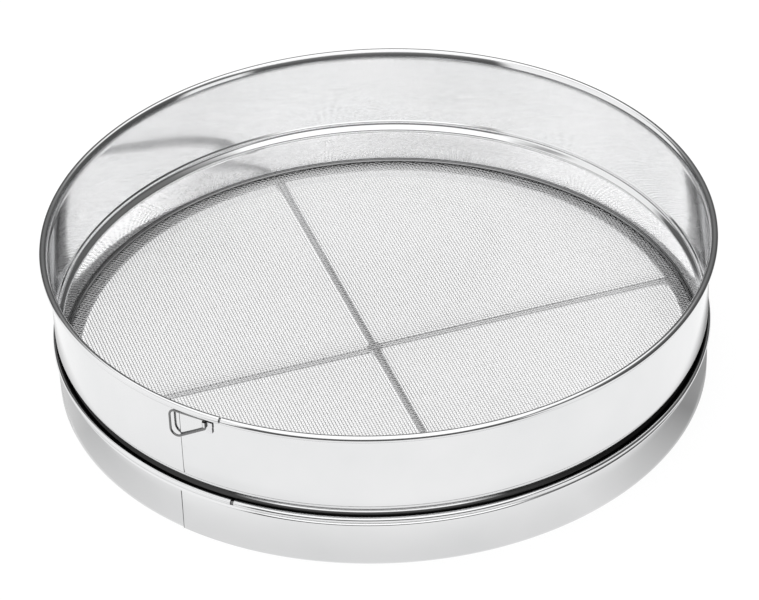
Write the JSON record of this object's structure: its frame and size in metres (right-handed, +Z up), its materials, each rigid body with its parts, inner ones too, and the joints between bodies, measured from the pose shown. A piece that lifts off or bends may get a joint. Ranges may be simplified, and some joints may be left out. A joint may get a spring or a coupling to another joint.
{
  "type": "drum sieve",
  "caption": "Round stainless steel drum sieve: wired rim, stepped hoops, woven wire cloth on crossed rods, and a wire loop to hang it by.",
  "frame": {"origin": "centre of the lower hoop's bottom edge, on the surface that the sieve stands on", "axes": "+Z up along the drum's axis; +X to the right and +Y away in the picture, so the hanging loop is at the front left"},
  "size_m": [0.3, 0.3, 0.07],
  "materials": {
    "polished_band": "mirror polished",
    "wire": "bright drawn",
    "wire_cloth": "woven, bright",
    "ring_sheet": "plain rolled",
    "rod": "bright drawn"
  },
  "bodies": {
    "drum": {"upper_hoop": "polished_band", "rim_wire": "wire", "lower_hoop": "polished_band", "skirt_wire": "wire", "mesh_screen": "wire_cloth", "mesh_hem": "wire_cloth", "support_ring": "ring_sheet", "cross_rod_long": "rod", "cross_rod_right": "rod", "cross_rod_left": "rod", "hanger_clip": "polished_band"},
    "loop": {"hanging_loop": "wire"}
  },
  "joints": [
    {"name": "loop_swing", "type": "hinge", "parent": "drum", "child": "loop", "pos_m": [-0.07506, -0.12692, 0.0627], "axis": [0, 0, 1], "range_deg": [0, 130]}
  ]
}
